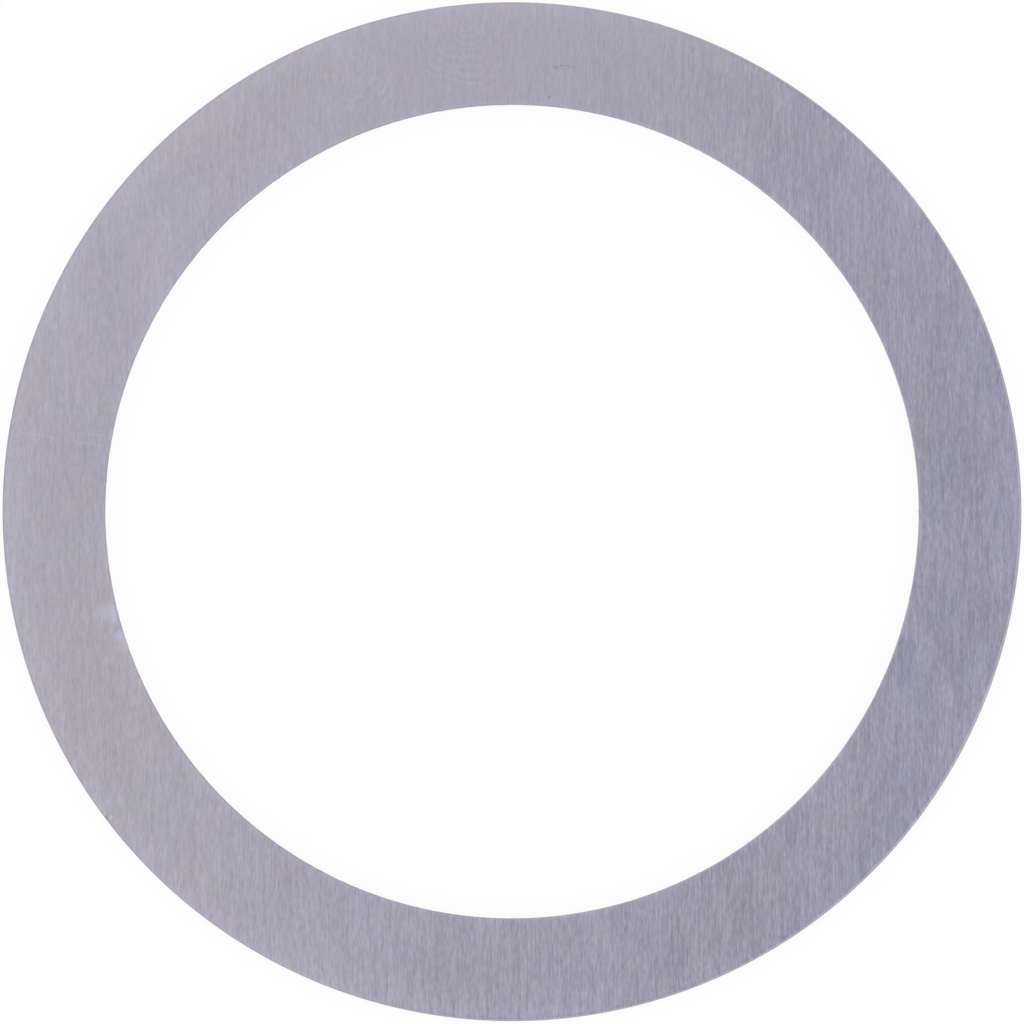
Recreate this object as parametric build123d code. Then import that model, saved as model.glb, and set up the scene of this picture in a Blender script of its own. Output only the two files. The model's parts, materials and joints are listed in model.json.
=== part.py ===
from build123d import *
import os
from math import sqrt

# Shim ring: a flat washer with a large bore and a narrow band, of the kind that takes up
# the end play between a bearing and its retaining ring. It is blanked and pierced in one
# stroke from cold-rolled steel strip, then tumbled.
#
# Frame: the origin is the centre of the ring on its lower face. +Z is the axis of the
# ring, and points out of the face with the rolled-over edges. The strip was rolled
# along Y. Lengths are in millimetres and angles in degrees.

# The ring as it is ordered
bore_diameter = 50.2  # clears a 50 mm shaft
band_width = 6.3  # radial, so that the rim clears a 63 mm housing
thickness = 1.0

# The punched edge. A press leaves the same picture in thin strip and in thick strip: each
# zone of the edge is a share of the strip's thickness, set by the clearance of the tools.
rim_roll_over_depth = 0.07 * thickness  # how far the upper face is drawn down at the rim
rim_roll_over_width = 0.20 * thickness  # how far in from the rim it starts to go down
bore_roll_over_depth = 0.015 * thickness  # hardly any at the bore, where strip is all round
bore_roll_over_width = 0.04 * thickness
land_foot = 0.51 * thickness  # the tool burnished an upright land from here up
fracture_lean = 0.05 * thickness  # how far the torn zone below has drawn back, at its foot
tumbled_radius = 0.04 * thickness  # what tumbling leaves of the burr

# A dent where the rim was knocked, in its rolled-over edge
nick_radius = 0.25
nick_depth = 0.12  # measured from the corner that the roll-over has taken away
nick_bearing = 217.0  # counter-clockwise from +X

bore_radius = bore_diameter / 2
rim_radius = bore_radius + band_width
middle_radius = bore_radius + band_width / 2


def band_section():
    """Section through the band, standing on the X axis with its middle over the origin.

    Punch and die cut the rim, on the right, and the bore in the same stroke. So each edge
    has, from the top down, a roll-over, a land, a fracture and what is left of the burr.
    """
    edge = band_width / 2
    rim_shoulder = (edge - rim_roll_over_width, thickness)
    rim_land_top = (edge, thickness - rim_roll_over_depth)
    bore_shoulder = (-edge + bore_roll_over_width, thickness)
    bore_land_top = (-edge, thickness - bore_roll_over_depth)
    fracture_foot = edge - fracture_lean
    with BuildSketch() as section:
        with BuildLine():
            TangentArc(rim_shoulder, rim_land_top, tangent=(1, 0))
            Polyline(rim_land_top, (edge, land_foot), (fracture_foot, 0), (-fracture_foot, 0))
            Polyline((-fracture_foot, 0), (-edge, land_foot), bore_land_top)
            TangentArc(bore_shoulder, bore_land_top, tangent=(-1, 0))
            Line(bore_shoulder, rim_shoulder)
        make_face()
        fillet(section.vertices().group_by(Axis.Y)[0], radius=tumbled_radius)
    return section.sketch


def blank():
    """The ring as it leaves the tumbler: the section of the band, turned about the axis."""
    return revolve(Plane.XZ * Pos(middle_radius, 0) * band_section(), Axis.Z)


def knock():
    """The round nose that dented the rim, where it stopped in the metal.

    It came in at 45 degrees, so its centre stands off the corner equally outwards and up.
    """
    stand_off = (nick_radius - nick_depth) / sqrt(2)
    place = Pos(rim_radius + stand_off, 0, thickness + stand_off)
    return Rot(Z=nick_bearing) * place * Sphere(nick_radius)


shim_ring = blank() - knock()
shim_ring.label = "shim_ring"

os.makedirs("parts", exist_ok=True)
export_step(shim_ring, "parts/shim_ring.step")
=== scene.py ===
# %% [markdown]
# # A punched steel shim ring
#
# A shim ring is a flat washer with a large bore and a narrow band. It takes up the last
# tenths of a millimetre of play between a bearing and the ring that holds it on its shaft.
# A press cuts it out of cold-rolled strip in one stroke, and tumbling takes the burr off.
#
# There is very little shape to see on such a thing, so its looks rest on three things:
# the shape of the punched edge, the grain that the rolling mill left in the faces, and
# the marks of being handled. This lesson makes them in that order.

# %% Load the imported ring
import json

import bpy
import numpy as np
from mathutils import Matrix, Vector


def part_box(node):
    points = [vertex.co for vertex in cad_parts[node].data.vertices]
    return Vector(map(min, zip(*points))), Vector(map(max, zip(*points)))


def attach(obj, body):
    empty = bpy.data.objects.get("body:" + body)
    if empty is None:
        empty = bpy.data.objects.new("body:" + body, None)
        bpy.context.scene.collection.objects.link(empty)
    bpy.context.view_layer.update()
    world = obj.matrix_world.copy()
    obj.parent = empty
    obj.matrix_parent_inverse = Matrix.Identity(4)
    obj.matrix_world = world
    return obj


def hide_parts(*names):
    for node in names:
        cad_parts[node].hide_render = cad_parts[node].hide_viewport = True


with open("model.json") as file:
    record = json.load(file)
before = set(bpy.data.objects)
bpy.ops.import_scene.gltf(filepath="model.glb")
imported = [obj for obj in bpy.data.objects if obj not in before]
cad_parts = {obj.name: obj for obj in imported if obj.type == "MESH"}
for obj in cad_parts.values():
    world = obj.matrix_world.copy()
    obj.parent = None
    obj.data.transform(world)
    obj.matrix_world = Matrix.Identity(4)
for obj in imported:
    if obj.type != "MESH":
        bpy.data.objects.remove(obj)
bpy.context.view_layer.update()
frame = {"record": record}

MM = 0.001

# %% [markdown]
# ## Sizes
#
# The ring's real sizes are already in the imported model, so they are read from it and not
# typed again. The bore and the rim are mounts with a radius, and the thickness is the
# height of the node's box. The punched edge has zones that a press makes as shares of the
# thickness.

# %% Read the sizes
lowest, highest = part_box("shim_ring")
mounts = {mount["name"]: mount for mount in frame["record"]["mounts"]}
bore_radius = mounts["bore"]["dims"]["r_mm"] * MM
rim_radius = mounts["rim"]["dims"]["r_mm"] * MM
thickness = highest[2] - lowest[2]
band_width = rim_radius - bore_radius
middle_radius = (bore_radius + rim_radius) / 2

land_foot = 0.51 * thickness
fracture_lean = 0.05 * thickness
tumbled_radius = 0.04 * thickness
print(f"bore {bore_radius / MM:.2f}, rim {rim_radius / MM:.2f}, thickness {thickness / MM:.2f} mm")

# %% [markdown]
# ## The punched edge
#
# Cut through the band and look at one edge. From the top down there are four zones. The
# roll-over is where the sheet was drawn down before the punch broke in. The land is
# upright and shiny, burnished by the tool. Below it the metal tore, so that zone is grey
# and rough and leans back. At the foot there was a burr, and tumbling has rounded it.
#
# A bevel on a cylinder would give two equal roundings, top and bottom, and would lose all
# of that. So the section is drawn as a profile: a few arcs and straight runs, each worked
# out from its own sizes. Points crowd together at the corners, which keeps a corner crisp
# under smooth shading.

# %% A straight run and a turn of the profile
def crowded(steps, crowd):
    """Steps values from 0 up to 1, without 1: t minus crowd times sin(2 pi t) / (2 pi).

    With crowd at 0 they are even, and near 1 they gather at both ends.
    """
    t = np.arange(steps) / steps
    return t - crowd * np.sin(2 * np.pi * t) / (2 * np.pi)


def straight(start, end, steps, crowd=0.0):
    """Points start + t (end - start), for t from 0 up to 1, without the end."""
    t = crowded(steps, crowd)[:, None]
    return np.array(start) + t * (np.array(end) - np.array(start))


def turn(centre, radius, first, last, steps):
    """Points centre + radius (cos a, sin a), for a from first to last, without the last."""
    a = first + crowded(steps, 0.0) * (last - first)
    return np.array(centre) + radius * np.stack([np.cos(a), np.sin(a)], axis=1)


# %% Half of the section, from the middle of the lower face to the middle of the upper one
edge = band_width / 2
fracture_foot = edge - fracture_lean
lean = np.arctan2(fracture_lean, land_foot)
foot_reach = tumbled_radius / np.tan((np.pi / 2 + lean) / 2)


def half_section(roll_depth, roll_width):
    """The runs of one edge, by zone. The roll-over is an arc that starts level with the face.

    Its radius is (width squared + depth squared) / (2 depth), straight below its start.
    """
    land_top = thickness - roll_depth
    foot_centre = (fracture_foot - foot_reach, tumbled_radius)
    foot_end = foot_centre + tumbled_radius * np.array([np.cos(lean), -np.sin(lean)])
    roll_radius = (roll_width**2 + roll_depth**2) / (2 * roll_depth)
    roll_turn = np.arcsin(roll_width / roll_radius)
    roll_start = (edge - roll_width, thickness)
    roll_centre = (roll_start[0], thickness - roll_radius)
    return {
        "lower_face": straight((0, 0), (fracture_foot - foot_reach, 0), 7, crowd=0.6),
        "foot": turn(foot_centre, tumbled_radius, -np.pi / 2, -lean, 3),
        "fracture": straight(foot_end, (edge, land_foot), 7, crowd=0.5),
        "land": straight((edge, land_foot), (edge, land_top), 4, crowd=0.8),
        "roll_over": turn(roll_centre, roll_radius, np.pi / 2 - roll_turn, np.pi / 2, 6),
        "upper_face": straight(roll_start, (0, thickness), 9, crowd=0.95),
    }


rim_edge = half_section(roll_depth=0.07 * thickness, roll_width=0.20 * thickness)
bore_edge = half_section(roll_depth=0.015 * thickness, roll_width=0.04 * thickness)
print("points in half of the section:", {zone: len(run) for zone, run in rim_edge.items()})

# %% [markdown]
# Punch and die cut the rim and the bore in the same stroke, so the bore's side of the
# section is like the rim's side, turned over end to end. Only there is hardly any
# roll-over, because strip lies all round a hole and holds it. Each step of the section
# belongs to one zone, and will take that zone's finish.

# %% The whole section, as a closed loop
rim_half = np.concatenate(list(rim_edge.values()))
bore_half = np.concatenate(list(bore_edge.values()))
middle_top = np.array([[0.0, thickness]])
section = np.concatenate([rim_half, middle_top, bore_half[:0:-1] * (-1, 1)])
zone_of_half = np.repeat(np.arange(len(rim_edge)), [len(run) for run in rim_edge.values()])
zone = np.concatenate([zone_of_half, zone_of_half[::-1]])
across, height = section.T
outwards = np.sign(across)
print("points in the section:", len(section), "steps:", len(zone))

# %% [markdown]
# ## Stations round the ring
#
# The section is carried round the axis. It needs enough stations for a smooth outline,
# and many more of them at the one place where the rim was knocked. A density is added
# up round the circle and turned inside out: where it is high, the stations crowd.

# %% Angles of the stations
nick_radius = 0.25 * MM
nick_depth = 0.12 * MM
nick_bearing = np.radians(217.0)
stations = 1360
nick_spread = 0.016
nick_crowd = 5.0


def crowd_angles(count, centre, spread, crowd):
    """Count angles round the circle, from the running total of 1 + crowd exp(-(a / spread)^2).

    The total is scaled to run from 0 to count, and read backwards at whole numbers.
    """
    fine = np.linspace(0, 2 * np.pi, 40_001)
    density = 1 + crowd * np.exp(-(((fine - centre) / spread) ** 2))
    total = np.concatenate([[0], np.cumsum((density[1:] + density[:-1]) / 2)])
    return np.interp(np.arange(count), total * count / total[-1], fine)


angle = crowd_angles(stations, nick_bearing, nick_spread, nick_crowd)
steps_round = np.diff(np.append(angle, 2 * np.pi)) * rim_radius / MM
print(f"steps along the rim: {steps_round.min():.3f} to {steps_round.max():.3f} mm")

# %% [markdown]
# ## What makes it a real ring
#
# A perfect section gives a perfect ring, and the eye takes that for plastic. On the real
# one the tear starts a little higher here and a little lower there, and its face is
# ragged. These departures are worked out for the whole grid at once: a wander is a sum of
# a few waves round the circle, so it closes on itself, and the raggedness is random
# numbers smoothed along the grid.

# %% Wanders and ragged metal
def wander(angles, waves, seed):
    """Sum over the given wave counts k of cos(k a + phase) / sqrt(k), scaled to a spread of 1."""
    k = np.array(waves)
    phase = np.random.default_rng(seed).uniform(0, 2 * np.pi, len(k))
    total = (np.cos(angles[:, None] * k + phase) / np.sqrt(k)).sum(axis=1)
    return total / np.sqrt((0.5 / k).sum())


def ragged(shape, seed, along, up):
    """Random numbers on the grid, each the mean of along by up neighbours, scaled to a spread of 1."""
    grid = np.random.default_rng(seed).normal(size=shape)
    for axis, reach in ((0, along), (1, up)):
        grid = sum(np.roll(grid, shift, axis=axis) for shift in range(reach))
    return grid / grid.std()


torn = np.interp(height, [0, 0.1 * land_foot, 0.8 * land_foot, land_foot], [0, 1, 1, 0])
torn = torn * (np.abs(across) > fracture_foot - foot_reach)
tear_line = np.interp(height, [0, land_foot, 0.93 * thickness], [0, 1, 0])
tear_line = tear_line * (np.abs(across) > fracture_foot)

tear_wander = 0.030 * thickness
torn_roughness = 0.006 * thickness
grid_shape = (stations, len(section))
raised = tear_wander * wander(angle, range(3, 60, 4), seed=3)[:, None] * tear_line
pushed = torn_roughness * ragged(grid_shape, seed=5, along=2, up=1) * torn * outwards
print(f"the tear line wanders by {np.abs(raised).max() / MM:.3f} mm at most")

# %% The surface as a function of the angle and the step along the section
def ring_surface(angles):
    """x = r cos a, y = r sin a, z = h, where r is the middle radius plus the section's width.

    r also gets the torn zone's raggedness, and h the wander of the tear line.
    """
    radius = middle_radius + across + pushed
    level = height + raised
    cosine, sine = np.cos(angles)[:, None], np.sin(angles)[:, None]
    return np.stack([radius * cosine, radius * sine, level], axis=-1)


grid = ring_surface(angle)
print("grid of points:", grid.shape)

# %% [markdown]
# ## The knock in the rim
#
# Something with a round nose hit the rolled-over edge once. A boolean cut would leave a
# patch of odd triangles there. It is simpler to do what the blow did: every point that
# the nose reached is pushed out to the surface of the nose.

# %% Push the dent in
stand_off = (nick_radius - nick_depth) / np.sqrt(2)
nose_out = rim_radius + stand_off
nose = np.array(
    [nose_out * np.cos(nick_bearing), nose_out * np.sin(nick_bearing), thickness + stand_off]
)
reach = np.linalg.norm(grid - nose, axis=-1, keepdims=True)
hit = reach < nick_radius
grid = np.where(hit, nose + (grid - nose) * nick_radius / reach, grid)
print("points that the nose pushed:", int(hit.sum()))

# %% [markdown]
# ## From the grid to a mesh
#
# The grid closes on itself both ways, so each face joins a point with its neighbours one
# station on and one step on, counted round. Every corner also gets a place on a flat map.
# The band is laid out there as four strips, one for each quarter turn, so that the map
# keeps nearly the same scale all over. The export bakes the finish through a map of this
# name, and strips waste much less of it than a big empty circle would.

# %% Faces and their places on the map
def ring_faces(around, along):
    """Corners (i, j), (i + 1, j), (i + 1, j + 1), (i, j + 1) of each face, counted round both ways."""
    i, j = np.meshgrid(np.arange(around), np.arange(along), indexing="ij")
    next_i, next_j = (i + 1) % around, (j + 1) % along
    corners = [i * along + j, next_i * along + j, next_i * along + next_j, i * along + next_j]
    return np.stack(corners, axis=-1).reshape(-1, 4)


def strip_map(around, along, strips=4, gap=0.008):
    """Each corner's place: u runs along its strip, and v up the strip by the length of the section."""
    closed = np.append(section, section[:1], axis=0)
    run = np.append(0, np.cumsum(np.linalg.norm(np.diff(closed, axis=0), axis=1)))
    in_strip = around // strips
    i, j = np.meshgrid(np.arange(around), np.arange(along), indexing="ij")
    strip = i // in_strip
    u_low, v_low = (i % in_strip) / in_strip, run[j] / run[-1]
    u_high, v_high = (i % in_strip + 1) / in_strip, run[j + 1] / run[-1]
    u = np.stack([u_low, u_high, u_high, u_low], axis=-1)
    u = gap + u * (1 - 2 * gap)
    v = np.stack([v_low, v_low, v_high, v_high], axis=-1)
    v = (strip[..., None] + gap + v * (1 - 2 * gap)) / strips
    return np.stack([u, v], axis=-1).reshape(-1, 2)


faces = ring_faces(*grid_shape)
face_zone = np.tile(zone, stations)
print("faces:", len(faces), "triangles:", 2 * len(faces))

# %% Make the mesh
def make_mesh(name, points, quads, places):
    """A mesh of these points and faces, smooth, with its map."""
    mesh = bpy.data.meshes.new(name)
    mesh.from_pydata(points.reshape(-1, 3), [], quads)
    mesh.polygons.foreach_set("use_smooth", np.ones(len(quads), bool))
    layer = mesh.uv_layers.new(name="OFBake")
    layer.uv.foreach_set("vector", places.astype(np.float32).ravel())
    mesh.validate()
    mesh.update()
    return mesh


mesh = make_mesh("punched_ring", grid, faces, strip_map(*grid_shape))
ring = bpy.data.objects.new("punched_ring", mesh)
bpy.context.scene.collection.objects.link(ring)
print("mesh:", len(mesh.vertices), "points,", len(mesh.polygons), "faces")

# %% A measure of the edge, for the finish
# Tumbling rubs the outside of a ring much further in than its bore, which other rings cover.
rubbed_rim = 1.2 * MM
rubbed_bore = 0.20 * MM
from_edge = np.clip(edge - np.abs(across), 0, None)
edge_mask = np.exp(-((from_edge / np.where(across > 0, rubbed_rim, rubbed_bore)) ** 2))
attribute = mesh.attributes.new("near_edge", "FLOAT", "POINT")
attribute.data.foreach_set("value", np.tile(edge_mask, stations).astype(np.float32))
print(f"near_edge runs from {edge_mask.min():.2f} to {edge_mask.max():.2f}")

# %% [markdown]
# ## Wiring nodes in code
#
# A shader tree can be clicked together or written down. Written down, it can be read from
# top to bottom like a sum, as long as a few small helpers hide the links. Each helper here
# adds one node and gives back its result, which the next line can use.

# %% Helpers that add one node each
def put(value, socket):
    """Link the value into the socket if it is another node's result, and otherwise set it there."""
    if isinstance(value, bpy.types.NodeSocket):
        socket.id_data.links.new(value, socket)
    else:
        socket.default_value = value


def calc(tree, operation, *values):
    """The result of a Math node."""
    made = tree.nodes.new("ShaderNodeMath")
    made.operation = operation
    for value, socket in zip(values, made.inputs):
        put(value, socket)
    return made.outputs[0]


def vector(tree, operation, *values):
    """The result of a Vector Math node: a number for a dot product or a length."""
    made = tree.nodes.new("ShaderNodeVectorMath")
    made.operation = operation
    sockets = [made.inputs[0], made.inputs[3 if operation == "SCALE" else 1]]
    for value, socket in zip(values, sockets):
        put(value, socket)
    number = operation in {"DOT_PRODUCT", "LENGTH", "DISTANCE"}
    return made.outputs["Value" if number else "Vector"]


def soft_step(tree, value, start, end):
    """0 where the value is at start, 1 where it is at end, and smooth between and beyond."""
    made = tree.nodes.new("ShaderNodeMapRange")
    made.interpolation_type = "SMOOTHSTEP"
    for given, name in ((value, "Value"), (start, "From Min"), (end, "From Max")):
        put(given, made.inputs[name])
    return made.outputs["Result"]


def blend(tree, share, below, above):
    """The colour below, covered by a share of the colour above."""
    made = tree.nodes.new("ShaderNodeMix")
    made.data_type = "RGBA"
    for given, index in ((share, 0), (below, 6), (above, 7)):
        put(given, made.inputs[index])
    return made.outputs[2]


def object_point(tree):
    """The shaded point in the object's own coordinates, in metres."""
    return tree.nodes.new("ShaderNodeTexCoord").outputs["Object"]


print("helpers: put, calc, vector, soft_step, blend, object_point")

# %% Helpers that make a node group and place it
def new_group(name, inputs, outputs):
    """An empty group, its inputs' values and its outputs' sockets. Inputs maps a name to (kind, value)."""
    group = bpy.data.node_groups.new(name, "ShaderNodeTree")
    for title, (kind, value) in inputs.items():
        made = group.interface.new_socket(title, in_out="INPUT", socket_type="NodeSocket" + kind)
        made.default_value = value
    for title in outputs:
        group.interface.new_socket(title, in_out="OUTPUT", socket_type="NodeSocketFloat")
    given = group.nodes.new("NodeGroupInput").outputs
    asked = group.nodes.new("NodeGroupOutput").inputs
    return group, given, asked


def place(tree, group, **values):
    """The result of a copy of the group in this tree. Inputs are given by name."""
    made = tree.nodes.new("ShaderNodeGroup")
    made.node_tree = group
    for name, value in values.items():
        put(value, made.inputs[name])
    return made.outputs[0]


print("helpers: new_group, place")

# %% [markdown]
# ## The grain
#
# The rolls of the mill are ground, and print their grinding marks into the strip as fine
# streaks along the way it ran. All the streaks of a ring run the same way, however the
# band curves: that is how one sees that it was punched from sheet, and not turned.
#
# Noise becomes streaks when its space is squeezed across the streaks and pulled along
# them. The group below divides the object's coordinates by the size of one cell. The same
# group then serves every zone: long cells for the rolled faces, upright cells for the
# marks that the tool drew on the land, and round cells for the torn metal.

# %% Group: metal grain
grain, given, asked = new_group(
    "metal_grain",
    {
        "Cell": ("Vector", (0.001, 0.001, 0.001)),
        "Shift": ("Float", 0.0),
        "Detail": ("Float", 1.0),
        "Waver": ("Float", 0.0),
    },
    ["Height"],
)
NOISE_SPREAD = 0.115


def noise(tree, point, detail):
    """Noise around 0 with a spread of about 1."""
    made = tree.nodes.new("ShaderNodeTexNoise")
    made.inputs["Scale"].default_value = 1.0
    made.inputs["Roughness"].default_value = 0.5
    put(point, made.inputs["Vector"])
    put(detail, made.inputs["Detail"])
    centred = calc(tree, "SUBTRACT", made.outputs[0], 0.5)
    return calc(tree, "DIVIDE", centred, NOISE_SPREAD)


cells = vector(grain, "DIVIDE", object_point(grain), given["Cell"])
cells = vector(grain, "ADD", cells, given["Shift"])
sway = noise(grain, vector(grain, "SCALE", cells, 0.35), 0.0)
across_grain = grain.nodes.new("ShaderNodeCombineXYZ")
put(calc(grain, "MULTIPLY", sway, given["Waver"]), across_grain.inputs["X"])
cells = vector(grain, "ADD", cells, across_grain.outputs[0])
put(noise(grain, cells, given["Detail"]), asked["Height"])
print("group:", grain.name)

# %% [markdown]
# ## Scratches and smudges
#
# A scratch is a line that is nearly straight and thins out at both ends. The group
# measures how far a point is from a slightly bowed line between two points. A smudge is a
# spot with a ragged edge: it measures the distance to its centre, and a noise from outside
# pushes that distance in and out. Both only give a mask. What is done with the mask, such
# as a brighter colour or a duller gloss, is up to the material.

# %% Group: scratch
scratch, given, asked = new_group(
    "scratch",
    {
        "From": ("Vector", (0, 0, 0)),
        "To": ("Vector", (0.001, 0, 0)),
        "Bow": ("Float", 0.0),
        "Width": ("Float", 0.0001),
    },
    ["Mask"],
)
point = vector(scratch, "MULTIPLY", object_point(scratch), (1, 1, 0))
line = vector(scratch, "SUBTRACT", given["To"], given["From"])
offset = vector(scratch, "SUBTRACT", point, given["From"])
length = vector(scratch, "LENGTH", line)
square = calc(scratch, "MULTIPLY", length, length)
share = calc(scratch, "DIVIDE", vector(scratch, "DOT_PRODUCT", offset, line), square)
turned = vector(scratch, "CROSS_PRODUCT", (0, 0, 1), line)
aside = calc(scratch, "DIVIDE", vector(scratch, "DOT_PRODUCT", offset, turned), length)
bulge = calc(scratch, "MULTIPLY", share, calc(scratch, "SUBTRACT", 1.0, share))
bulge = calc(scratch, "MULTIPLY", bulge, calc(scratch, "MULTIPLY", given["Bow"], 4.0))
gap = calc(scratch, "ABSOLUTE", calc(scratch, "SUBTRACT", aside, bulge))
taper = calc(
    scratch,
    "MULTIPLY",
    soft_step(scratch, share, 0.0, 0.25),
    soft_step(scratch, share, 1.0, 0.75),
)
half_width = calc(scratch, "MULTIPLY", given["Width"], 0.5)
put(calc(scratch, "MULTIPLY", soft_step(scratch, gap, half_width, 0.0), taper), asked["Mask"])
print("group:", scratch.name)

# %% Group: smudge
smudge, given, asked = new_group(
    "smudge",
    {
        "Centre": ("Vector", (0, 0, 0)),
        "Radius": ("Float", 0.001),
        "Push": ("Float", 0.0),
    },
    ["Mask"],
)
point = vector(smudge, "MULTIPLY", object_point(smudge), (1, 1, 0))
distance = vector(smudge, "DISTANCE", point, given["Centre"])
distance = calc(smudge, "DIVIDE", distance, given["Radius"])
distance = calc(smudge, "ADD", distance, given["Push"])
put(soft_step(smudge, distance, 1.0, 0.15), asked["Mask"])
print("group:", smudge.name)

# %% [markdown]
# A finger leaves a trace of grease wherever it picked the ring up: curved ridges half a
# millimetre apart, hardly there, and rubbed away in places. Here the ridges are a wave over
# the distance from a point, and a smudge limits them.

# %% Group: finger mark
finger_mark, given, asked = new_group(
    "finger_mark",
    {
        "Centre": ("Vector", (0, 0, 0)),
        "Radius": ("Float", 0.003),
        "Core": ("Vector", (0, 0, 0)),
        "Pitch": ("Float", 0.00047),
        "Push": ("Float", 0.0),
    },
    ["Mask"],
)
point = vector(finger_mark, "MULTIPLY", object_point(finger_mark), (1, 1, 0))
distance = vector(finger_mark, "DISTANCE", point, given["Core"])
distance = calc(finger_mark, "ADD", distance, calc(finger_mark, "MULTIPLY", given["Push"], 0.0004))
turns = calc(finger_mark, "DIVIDE", distance, given["Pitch"])
wave = calc(finger_mark, "SINE", calc(finger_mark, "MULTIPLY", turns, 2 * np.pi))
ridge = soft_step(finger_mark, wave, -0.6, 1.0)
patch = place(finger_mark, smudge, Centre=given["Centre"], Radius=given["Radius"], Push=given["Push"])
put(calc(finger_mark, "MULTIPLY", ridge, patch), asked["Mask"])
print("group:", finger_mark.name)

# %% Group: specks
specks, given, asked = new_group(
    "specks",
    {
        "Spacing": ("Float", 0.002),
        "Size": ("Float", 0.00008),
        "Shift": ("Float", 0.0),
        "Rarity": ("Float", 0.7),
    },
    ["Mask"],
)
cells = vector(specks, "SCALE", object_point(specks), calc(specks, "DIVIDE", 1.0, given["Spacing"]))
cells = vector(specks, "ADD", vector(specks, "MULTIPLY", cells, (1, 1, 0)), given["Shift"])
scatter = specks.nodes.new("ShaderNodeTexVoronoi")
scatter.voronoi_dimensions = "2D"
scatter.inputs["Scale"].default_value = 1.0
put(cells, scatter.inputs["Vector"])
reach = calc(specks, "DIVIDE", given["Size"], given["Spacing"])
dots = soft_step(specks, scatter.outputs["Distance"], reach, 0.0)
luck = vector(specks, "DOT_PRODUCT", scatter.outputs["Color"], (1, 0, 0))
chosen = calc(specks, "GREATER_THAN", luck, given["Rarity"])
put(calc(specks, "MULTIPLY", dots, chosen), asked["Mask"])
print("group:", specks.name)

# %% [markdown]
# ## The rolled faces
#
# Both faces are the skin of the strip. The steel is a cool, faintly violet grey. The
# streaks show in two ways. In the colour they are a little brighter and darker, partly as
# the grain's own tone and partly as a painted glint off it. And they are shallow grooves,
# half a micrometre deep, that tip the light: next to the edge of a lamp's reflection they
# stand out, and far from it they nearly vanish. So the same noises feed the colour and a
# Bump node.
#
# The streaks are neutral, as a glint off bare metal is: they change red, green and blue
# alike. Under them the tone of the steel drifts a little, warmer here and cooler there.
# Soft clouds of noise do that to red and to blue, each with clouds of its own.

# %% The steel and its grain
STEEL = (0.428, 0.406, 0.4845)
# What a streak adds for each part of its height, as its own tone and as a painted glint:
# nearly the same to red, green and blue.
STREAK_AND_GLINT = (0.417, 0.406, 0.418)
GROOVE_DEPTH = 0.0005 * MM
# Towards this side of the ring the streaks are stronger, in relief and in painted glint:
# a direction, over the radius of the rim.
STRONG_STREAK_SIDE = tuple(np.array([0.68, -0.73, 0.0]) / rim_radius)


def shader(name):
    """A new material, its tree and its Principled BSDF's inputs, set to bare metal."""
    made = bpy.data.materials.new(name)
    made.use_nodes = True
    tree = made.node_tree
    metal = tree.nodes["Principled BSDF"]
    metal.inputs["Metallic"].default_value = 1.0
    metal.inputs["Specular Tint"].default_value = (0.75, 0.75, 0.75, 1)
    return made, tree, metal.inputs


def bump(tree, relief, depth):
    """A normal tipped by the relief, which is counted in depths, in metres."""
    made = tree.nodes.new("ShaderNodeBump")
    made.inputs["Distance"].default_value = depth
    put(relief, made.inputs["Height"])
    return made.outputs[0]


def weigh(tree, *pairs):
    """The sum of each value times its weight."""
    total = 0.0
    for value, weight in pairs:
        total = calc(tree, "ADD", calc(tree, "MULTIPLY", value, weight), total)
    return total


def gained(tree, colour, gain):
    """The colour times 1 + gain."""
    return vector(tree, "SCALE", colour, calc(tree, "ADD", gain, 1.0))


def near_edge(tree):
    """1 at the two edges of a face, and 0 away from them."""
    made = tree.nodes.new("ShaderNodeAttribute")
    made.attribute_name = "near_edge"
    return made.outputs["Fac"]


def mottled(tree, shift, level, share):
    """This level, raised and lowered by a share of itself in clouds from 1 to 10 mm long."""
    total = level
    for cell in (0.0007, 0.0022, 0.0070):
        cloud = place(tree, grain, Cell=(cell, 1.4 * cell, cell), Shift=shift, Detail=1.0)
        total = calc(tree, "ADD", calc(tree, "MULTIPLY", cloud, share * level), total)
    return total


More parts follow.
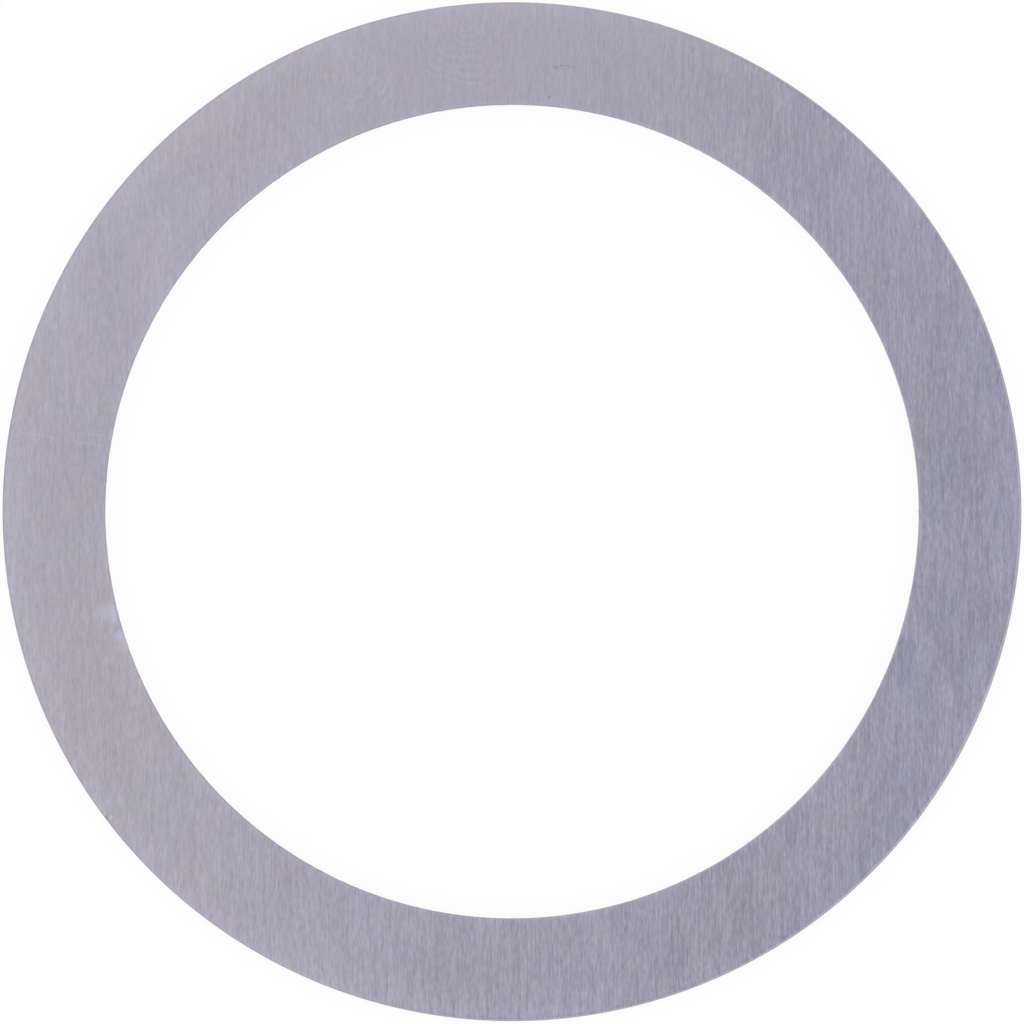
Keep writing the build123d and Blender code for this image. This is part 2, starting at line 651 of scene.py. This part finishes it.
def rolled(tree, shift):
    """The steel's colour with its grain and clouds, a painted glint on the streaks, and the grooves of the
    grain as a relief.
    """
    # Five layers of the same noise, from hair lines to soft clouds.
    fine = place(tree, grain, Cell=(0.00012, 0.0005, 0.00012), Shift=shift, Detail=1.0, Waver=0.03)
    lines = place(tree, grain, Cell=(0.00013, 0.0025, 0.00013), Shift=shift + 3, Waver=0.04)
    broad = place(tree, grain, Cell=(0.00034, 0.0026, 0.00034), Shift=shift + 5, Detail=1.0, Waver=0.06)
    bands = place(tree, grain, Cell=(0.0013, 0.0060, 0.0013), Shift=shift + 9, Detail=1.0)
    clouds = place(tree, grain, Cell=(0.0042, 0.0110, 0.0042), Shift=shift + 13, Detail=2.0)
    # How strongly the streaks show, in relief and in painted glint: more towards one side,
    # and less at the top of the ring.
    side = vector(tree, "DOT_PRODUCT", object_point(tree), STRONG_STREAK_SIDE)
    weaker_top = place(tree, smudge, Centre=(0.001, 0.0285, 0), Radius=0.019, Push=0.0)
    streak_strength = calc(tree, "ADD", weigh(tree, (side, 0.28), (weaker_top, -0.30)), 1.13)
    gain = weigh(tree, (fine, 0.042), (lines, 0.023), (broad, 0.0175), (bands, 0.0105), (clouds, 0.017))
    gain = calc(tree, "MULTIPLY", gain, streak_strength)
    skin = tree.nodes.new("ShaderNodeCombineXYZ")
    put(mottled(tree, shift + 17, STEEL[0], 0.0056), skin.inputs["X"])
    skin.inputs["Y"].default_value = STEEL[1]
    put(mottled(tree, shift + 27, STEEL[2], 0.0076), skin.inputs["Z"])
    # The streaks' share of the colour is their own tone and, in part, a painted glint.
    colour = vector(tree, "ADD", skin.outputs[0], vector(tree, "SCALE", STREAK_AND_GLINT, gain))
    grooves = weigh(tree, (fine, 0.6), (lines, 0.6), (broad, 1.0), (bands, 1.1))
    grooves = calc(tree, "MULTIPLY", grooves, streak_strength)
    return colour, grooves


print("steel:", STEEL)

# %% [markdown]
# ## Marks of use on the upper face, and painted light at the knock
#
# Each mark has a place that is given as a fitter would: a bearing round the ring and a
# distance in from the rim. Bright ones are fresh, where something rubbed the dull skin
# off. Dark ones hold dirt, as in a hair-thin tear at the top. At the knock it is
# different: a dark line on one wall is painted shade, and a bright spot on its far side
# is a painted highlight. Together they show the hollow of the dent.

# %% Where the marks are
def spot(bearing, inset):
    """The point at this bearing in degrees, counter-clockwise from +X, and so many mm in from the rim."""
    a = np.radians(bearing)
    r = rim_radius - inset * MM
    return (r * np.cos(a), r * np.sin(a), 0)


bright_scratches = [
    # from (bearing, inset), to (bearing, inset), bow and width in mm, strength
    (spot(170.85, 0.6), spot(171.0, 3.5), 0.05, 0.18, 0.55),
    (spot(170.85, 0.8), spot(170.9, 1.1), 0.00, 0.22, 0.6),
    (spot(171.0, 3.3), spot(170.9, 6.25), 0.02, 0.18, 0.45),
    (spot(169.8, 3.9), spot(169.4, 6.3), 0.02, 0.18, 0.40),
    (spot(313.2, 4.25), spot(312.6, 3.91), 0.00, 0.11, 0.5),
    (spot(342.5, 5.24), spot(341.7, 5.11), 0.00, 0.11, 0.5),
    (spot(155.6, 3.5), spot(154.9, 4.3), 0.06, 0.10, 0.6),
    (spot(220.4, 0.9), spot(224.8, 0.9), 0.03, 0.10, 0.4),
    (spot(240.2, 3.4), spot(241.5, 4.3), 0.04, 0.24, 0.5),
    (spot(262.5, 2.1), spot(263.6, 4.4), 0.08, 0.10, 0.3),
    (spot(118.5, 1.5), spot(121.9, 2.1), -0.06, 0.10, 0.3),
    (spot(84.4, 6.1), spot(84.6, 5.8), 0.00, 0.16, 0.8),
]
dark_scratches_and_knock_shade = [
    (spot(84.65, 3.77), spot(84.35, 4.03), 0.00, 0.16, 0.55),
    (spot(84.55, 4.04), spot(83.15, 3.66), 0.06, 0.14, 0.50),
    (spot(83.60, 3.70), spot(81.60, 3.76), 0.02, 0.15, 0.25),
    (spot(83.75, 3.93), spot(83.15, 3.93), 0.03, 0.14, 0.40),
    # painted shade: a dark line on one wall of the knock, running out over the rim
    (spot(216.85, 0.46), spot(217.25, -0.10), -0.05, 0.20, 0.85),
]
dark_specks = [
    # centre (bearing, inset), radius in mm, strength
    (spot(84.9, 5.74), 0.12, 0.45),
    (spot(94.4, 5.7), 0.09, 0.5),
    # a dark spot just past the knock
    (spot(217.75, 0.22), 0.12, 0.25),
]
bright_specks_and_knock_highlight = [
    (spot(51.1, 0.4), 0.12, 0.6),
    (spot(35.0, 0.8), 0.12, 0.5),
    # painted highlight: the bright far side of the knock
    (spot(217.30, 0.34), 0.20, 0.50),
]
rubs = [
    (spot(194.0, 5.8), 0.90, 0.46),
    (spot(197.5, 5.95), 0.50, 0.55),
    (spot(199.3, 6.05), 0.60, 0.30),
]
long_rub = [(spot(193.2, 6.06), spot(195.8, 5.98), 0.0, 0.50, 0.85)]
finger_marks = [
    # centre (bearing, inset), radius in mm, the point that the ridges curl round
    (spot(96.0, 3.2), 3.6, spot(95.3, 0.9)),
    (spot(108.5, 3.4), 2.8, spot(110.0, 2.2)),
]
print("marks:", len(bright_scratches), "bright,", len(dark_scratches_and_knock_shade), "dark,", len(rubs), "rubs")

# %% Colours of the marks
BRIGHT_LINE = (0.52, 0.50, 0.58, 1)
# bare metal; at the knock the same colour is a painted highlight
BARE_METAL_AND_KNOCK_HIGHLIGHT = (0.62, 0.60, 0.68, 1)
RUBBED = (0.53, 0.53, 0.69, 1)
DUST = (0.65, 0.63, 0.70, 1)
# dirt; at the knock the same colour is painted shade
DIRT_AND_KNOCK_SHADE = (0.17, 0.16, 0.19, 1)
PIT = (0.18, 0.17, 0.21, 1)
OILED = (1.022, 1.0, 0.968)  # a film of oil warms what lies under it
print("from bare metal", BARE_METAL_AND_KNOCK_HIGHLIGHT[:3], "to dirt", DIRT_AND_KNOCK_SHADE[:3])

# %% One mask for each kind of mark
def scratches(tree, lines):
    """The strongest of these scratches at each point."""
    total = 0.0
    for begin, stop, bow, width, strength in lines:
        mask = place(tree, scratch, From=begin, To=stop, Bow=bow * MM, Width=width * MM)
        total = calc(tree, "MAXIMUM", calc(tree, "MULTIPLY", mask, strength), total)
    return total


def smudges(tree, spots, push):
    """The strongest of these smudges at each point."""
    total = 0.0
    for centre, radius, strength in spots:
        mask = place(tree, smudge, Centre=centre, Radius=radius * MM, Push=push)
        total = calc(tree, "MAXIMUM", calc(tree, "MULTIPLY", mask, strength), total)
    return total


print("helpers: scratches, smudges")

# %% Material: the upper face
upper, tree, face = shader("rolled_upper_face")
colour, grooves = rolled(tree, shift=0.0)

bite = soft_step(tree, place(tree, grain, Cell=(0.0002, 0.0002, 0.0002)), -2.0, 1.0)
blotches = place(tree, grain, Cell=(0.0007, 0.0010, 0.0007), Shift=3.0, Detail=3.0)
push = calc(tree, "MULTIPLY", blotches, 0.25)

mask = calc(tree, "MULTIPLY", scratches(tree, bright_scratches), bite)
colour = blend(tree, mask, colour, BRIGHT_LINE)
# Dirt in the dark scratches, and painted shade on the wall of the knock.
mask = calc(tree, "MULTIPLY", scratches(tree, dark_scratches_and_knock_shade), bite)
colour = blend(tree, mask, colour, DIRT_AND_KNOCK_SHADE)
colour = blend(tree, smudges(tree, dark_specks, 0.0), colour, DIRT_AND_KNOCK_SHADE)
# Bare metal in the bright specks, and a painted highlight beside the knock.
colour = blend(tree, smudges(tree, bright_specks_and_knock_highlight, 0.0), colour, BARE_METAL_AND_KNOCK_HIGHLIGHT)
mask = calc(tree, "MAXIMUM", smudges(tree, rubs, push), scratches(tree, long_rub))
colour = blend(tree, mask, colour, RUBBED)
oil = place(tree, smudge, Centre=spot(203.0, 6.0), Radius=0.0095, Push=0.0)
colour = blend(tree, oil, colour, vector(tree, "MULTIPLY", colour, OILED))

grease = 0.0
for centre, radius, core in finger_marks:
    mask = place(tree, finger_mark, Centre=centre, Radius=radius * MM, Core=core, Push=push)
    grease = calc(tree, "MAXIMUM", mask, grease)
colour = blend(tree, calc(tree, "MULTIPLY", grease, 0.15), colour, BARE_METAL_AND_KNOCK_HIGHLIGHT)

dust = place(tree, specks, Spacing=0.0021, Size=0.00007, Rarity=0.72)
colour = blend(tree, calc(tree, "MULTIPLY", dust, 0.25), colour, DUST)
pits = place(tree, specks, Spacing=0.0013, Size=0.00008, Shift=3.7, Rarity=0.80)
colour = blend(tree, calc(tree, "MULTIPLY", pits, 0.22), colour, PIT)

edge_share = near_edge(tree)
colour = gained(tree, colour, calc(tree, "MULTIPLY", edge_share, 0.065))
put(colour, face["Base Color"])
gloss = weigh(tree, (grooves, 0.008), (grease, 0.03), (edge_share, -0.02))
put(calc(tree, "ADD", gloss, 0.21), face["Roughness"])
put(bump(tree, grooves, GROOVE_DEPTH), face["Normal"])
print("material:", upper.name, "nodes:", len(tree.nodes))

# %% Material: the lower face
lower, tree, face = shader("rolled_lower_face")
colour, grooves = rolled(tree, shift=31.0)
wear = place(tree, specks, Spacing=0.0016, Size=0.00008, Shift=8.2, Rarity=0.7)
colour = blend(tree, calc(tree, "MULTIPLY", wear, 0.3), colour, BARE_METAL_AND_KNOCK_HIGHLIGHT)
edge_share = near_edge(tree)
colour = gained(tree, colour, calc(tree, "MULTIPLY", edge_share, 0.08))
put(colour, face["Base Color"])
gloss = weigh(tree, (grooves, 0.008), (edge_share, -0.03))
put(calc(tree, "ADD", gloss, 0.24), face["Roughness"])
put(bump(tree, grooves, GROOVE_DEPTH), face["Normal"])
print("material:", lower.name, "nodes:", len(tree.nodes))

# %% [markdown]
# ## The land and the tear
#
# The tool slid down the land and polished it, with drawn lines from top to bottom. Under
# it the metal broke: bare, grey and grainy like broken sugar, with no shine at all. Both
# use the same grain group, with cells of another shape.

# %% Material: the burnished land
LAND_STEEL = (0.45, 0.43, 0.50)
DRAWN_DEPTH = 0.0006 * MM
land, tree, face = shader("burnished_land")
drawn = place(tree, grain, Cell=(0.00005, 0.00005, 0.0018), Detail=2.0)
put(gained(tree, LAND_STEEL, weigh(tree, (drawn, 0.035))), face["Base Color"])
put(calc(tree, "ADD", weigh(tree, (drawn, 0.02)), 0.20), face["Roughness"])
put(bump(tree, drawn, DRAWN_DEPTH), face["Normal"])
print("material:", land.name)

# %% Material: the torn metal
TORN_STEEL = (0.28, 0.266, 0.315)
TORN_DEPTH = 0.004 * MM
tear, tree, face = shader("torn_metal")
crumbs = place(tree, grain, Cell=(0.00006, 0.00006, 0.00005), Detail=3.0)
hollows = place(tree, grain, Cell=(0.00022, 0.00022, 0.00012), Shift=4.0, Detail=2.0)
put(gained(tree, TORN_STEEL, weigh(tree, (crumbs, 0.06), (hollows, 0.07))), face["Base Color"])
put(calc(tree, "ADD", weigh(tree, (crumbs, 0.03)), 0.55), face["Roughness"])
put(bump(tree, weigh(tree, (crumbs, 1.0), (hollows, 1.6)), TORN_DEPTH), face["Normal"])
print("material:", tear.name)

# %% Give each zone its material
finish_of_zone = {
    "lower_face": lower,
    "foot": lower,
    "fracture": tear,
    "land": land,
    "roll_over": upper,
    "upper_face": upper,
}
finishes = list(dict.fromkeys(finish_of_zone.values()))
for finish in finishes:
    mesh.materials.append(finish)
finish_of_step = np.array([finishes.index(finish_of_zone[name]) for name in rim_edge])
mesh.polygons.foreach_set("material_index", finish_of_step[face_zone].astype(np.int32))
mesh.update()
print("finishes:", [finish.name for finish in finishes])

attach(ring, "root")
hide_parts("shim_ring")

# %% [markdown]
# ## The table and the light
#
# The ring lies on a white table. For the camera the table is white by itself, and only a
# share of it answers to the light. So it stays a clean white, and the ring keeps a faint
# shadow. In the metal's reflection the table is greyer. That keeps the upright edges of the
# ring from melting into it. Seen from below, the table is clear like glass, so that the
# lower face can be looked at too.
#
# Bare metal shows what is around it. In a room that is the same white all over it would
# look flat. So the big light overhead ends just past the point straight above the ring, and
# the soft border of its reflection crosses the ring. That is where the streaks come out.

# %% The table
floor_mesh = bpy.data.meshes.new("table")
far = 6.0
OWN_WHITE = 0.92  # the share of its white that the table gives by itself, where it is seen
SHINE_BACK = 0.70  # the same share in the metal's reflection
# A hair below the ring: two surfaces in exactly the same plane would show through each other.
low = -0.03 * MM
corners = [(-far, -far, low), (far, -far, low), (far, far, low), (-far, far, low)]
floor_mesh.from_pydata(corners, [], [(0, 1, 2, 3)])
table = bpy.data.objects.new("table", floor_mesh)
bpy.context.scene.collection.objects.link(table)

white = bpy.data.materials.new("white_table")
white.use_nodes = True
floor_mesh.materials.append(white)
tree = white.node_tree
matt = tree.nodes["Principled BSDF"].inputs
matt["Base Color"].default_value = (0.96, 0.96, 0.96, 1)
matt["Roughness"].default_value = 0.9
matt["Specular IOR Level"].default_value = 0.0
glow = tree.nodes.new("ShaderNodeEmission")
path = tree.nodes.new("ShaderNodeLightPath").outputs
put(blend(tree, path["Is Glossy Ray"], (1, 1, 1, 1), (0.64, 0.64, 0.66, 1)), glow.inputs["Color"])
seen = calc(tree, "MAXIMUM", path["Is Camera Ray"], path["Is Transmission Ray"])
seen = calc(tree, "MULTIPLY", seen, OWN_WHITE)
seen = calc(tree, "MAXIMUM", seen, calc(tree, "MULTIPLY", path["Is Glossy Ray"], SHINE_BACK))
cover = tree.nodes.new("ShaderNodeMixShader")
put(seen, cover.inputs[0])
put(tree.nodes["Principled BSDF"].outputs[0], cover.inputs[1])
put(glow.outputs[0], cover.inputs[2])
one_sided = tree.nodes.new("ShaderNodeMixShader")
put(tree.nodes.new("ShaderNodeNewGeometry").outputs["Backfacing"], one_sided.inputs[0])
put(cover.outputs[0], one_sided.inputs[1])
put(tree.nodes.new("ShaderNodeBsdfTransparent").outputs[0], one_sided.inputs[2])
put(one_sided.outputs[0], tree.nodes["Material Output"].inputs["Surface"])
print("table:", white.name)

# %% The room
WHITE = (1, 1, 1, 1)
WALLS = (0.90, 0.90, 0.90, 1)
DIM_SIDE = (0.640, 0.665, 0.745, 1)
room = bpy.data.worlds.new("white_room")
bpy.context.scene.world = room
room.use_nodes = True
tree = room.node_tree
direction = tree.nodes.new("ShaderNodeTexCoord").outputs["Generated"]
border_turn = np.radians(-16)
past_border = vector(tree, "DOT_PRODUCT", direction, (np.cos(border_turn), np.sin(border_turn), 0))
upwards = vector(tree, "DOT_PRODUCT", direction, (0, 0, 1))
walls = soft_step(tree, upwards, 0.10, 0.45)
overhead = soft_step(tree, upwards, 0.75, 0.93)
dim = soft_step(tree, past_border, 0.00, 0.05)
dim = calc(tree, "MULTIPLY", dim, soft_step(tree, past_border, 0.50, 0.25))
dim = calc(tree, "MULTIPLY", dim, soft_step(tree, upwards, 0.75, 0.90))
colour = blend(tree, walls, WHITE, WALLS)
colour = blend(tree, overhead, colour, WHITE)
colour = blend(tree, dim, colour, DIM_SIDE)
path = tree.nodes.new("ShaderNodeLightPath").outputs
colour = blend(tree, path["Is Glossy Ray"], WHITE, colour)
put(colour, tree.nodes["Background"].inputs["Color"])
print("room:", room.name)

# %% The lamp
from mathutils import Vector


def soft_lamp(name, where, size, power):
    """A square lamp that faces the ring from this place, with its size in metres and power in watts."""
    light = bpy.data.lights.new(name, "AREA")
    light.size = size
    light.energy = power
    lamp = bpy.data.objects.new(name, light)
    bpy.context.scene.collection.objects.link(lamp)
    lamp.location = where
    lamp.rotation_euler = (-Vector(where)).to_track_quat("-Z", "Y").to_euler()
    return lamp


key = soft_lamp("key_lamp", (0.95, -0.65, 1.20), 1.30, 0.45)
print("lamp:", key.name, key.data.energy, "W")

# %% [markdown]
# ## The camera
#
# The camera looks straight down from arm's length through a long lens, with +Y upwards.

# %% The camera
camera = bpy.data.objects.new("camera", bpy.data.cameras.new("camera"))
bpy.context.scene.collection.objects.link(camera)
bpy.context.scene.camera = camera
camera.data.lens = 200
camera.data.sensor_width = 36
camera.data.clip_start = 0.01
camera_rise = 350.6 * MM  # above the upper face
camera_back = 0.02 * MM  # a hair towards -Y, which centres the ring in the picture
camera.location = (0, -camera_back, thickness + camera_rise)
print("camera:", *camera.location)

# %% Colours as they are written
bpy.context.scene.view_settings.view_transform = "Standard"
print("view transform:", bpy.context.scene.view_settings.view_transform)
